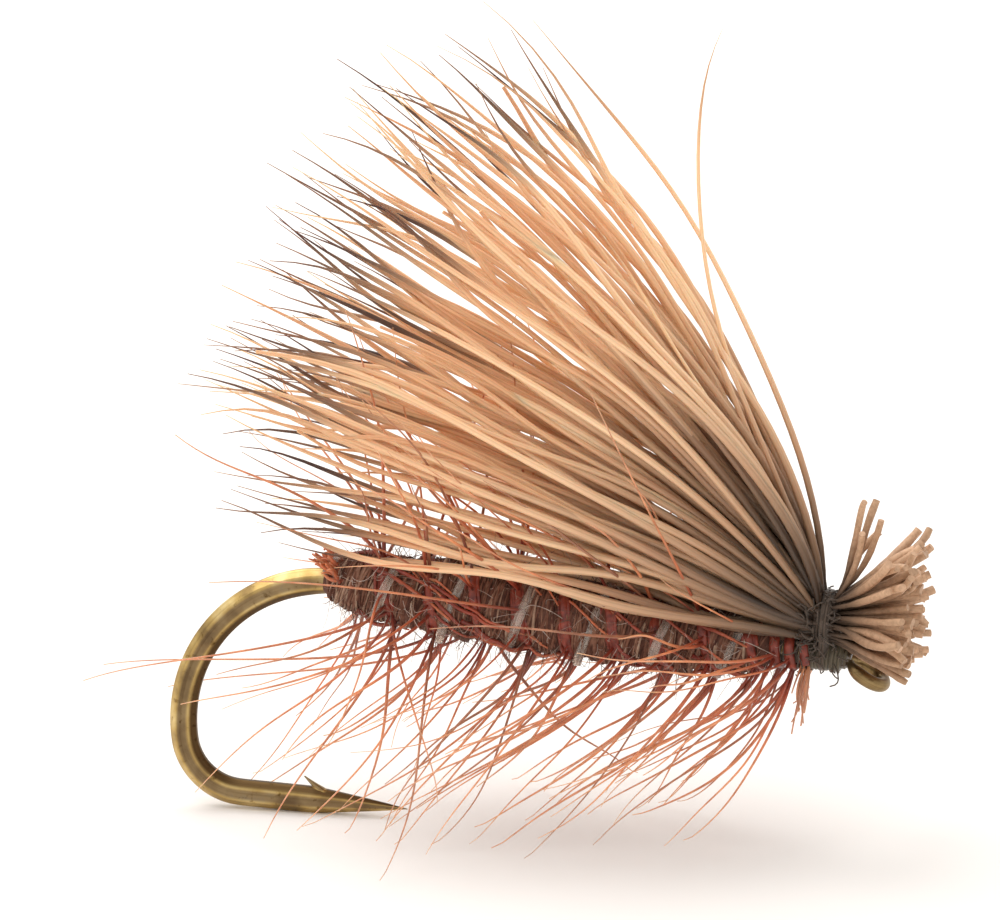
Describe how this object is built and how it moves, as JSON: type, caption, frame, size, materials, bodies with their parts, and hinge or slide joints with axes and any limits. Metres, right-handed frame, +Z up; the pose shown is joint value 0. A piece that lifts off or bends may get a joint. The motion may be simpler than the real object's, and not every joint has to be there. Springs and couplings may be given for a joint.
{
  "type": "dry fly",
  "caption": "Hair-winged dry fly: a down-eyed barbed hook with a dubbed body, palmered hackle, ribbing, a swept-back hair wing and a clipped hair head.",
  "frame": {"origin": "on the surface that the fly stands on, under the middle of its box", "axes": "+X along the fly towards the hook eye, +Z up as it stands, Y across it"},
  "size_m": [0.02, 0.0147, 0.0203],
  "materials": {
    "bronzed_hook": "bronzed steel, forged flats, light tarnish",
    "tying_thread": "waxed thread",
    "fur_dubbing": "spun fur, matt and fuzzy",
    "clear_rib": "clear stretched strip",
    "hackle_stem": "feather quill, satin",
    "hackle_barb": "feather barb, satin with a soft shine",
    "wing_hair": "hollow hair, satin, darker at the tip",
    "butt_hair": "hollow hair, cut square",
    "head_varnish": "clear varnish over thread"
  },
  "bodies": {
    "root": {"hook": "bronzed_hook", "hook_eye": "bronzed_hook", "thread_base": "tying_thread", "wing_thread": "tying_thread", "whip_finish": "tying_thread", "dubbed_body": "fur_dubbing", "rib_strip": "clear_rib", "hackle_stem": "hackle_stem", "hackle_tip": "hackle_barb", "hackle_barbs_1": "hackle_barb", "hackle_barbs_2": "hackle_barb", "hackle_barbs_3": "hackle_barb", "hackle_barbs_4": "hackle_barb", "hackle_barbs_5": "hackle_barb", "hackle_barbs_6": "hackle_barb", "hackle_barbs_7": "hackle_barb", "hackle_barbs_8": "hackle_barb", "hackle_barbs_9": "hackle_barb", "collar_barbs_1": "hackle_barb", "collar_barbs_2": "hackle_barb", "swept_barbs": "hackle_barb", "clipped_barbs": "hackle_barb", "wing_hairs_1": "wing_hair", "wing_hairs_2": "wing_hair", "wing_hairs_3": "wing_hair", "wing_hairs_4": "wing_hair", "wing_hairs_5": "wing_hair", "wing_hairs_6": "wing_hair", "wing_hairs_7": "wing_hair", "wing_hairs_8": "wing_hair", "loose_wing_hairs": "wing_hair", "hair_waist": "butt_hair", "butt_hairs_1": "butt_hair", "butt_hairs_2": "butt_hair", "butt_hairs_3": "butt_hair", "butt_hairs_4": "butt_hair", "butt_hairs_5": "butt_hair", "butt_hairs_6": "butt_hair", "butt_tuft": "butt_hair", "head_cement": "head_varnish"}
  },
  "joints": []
}
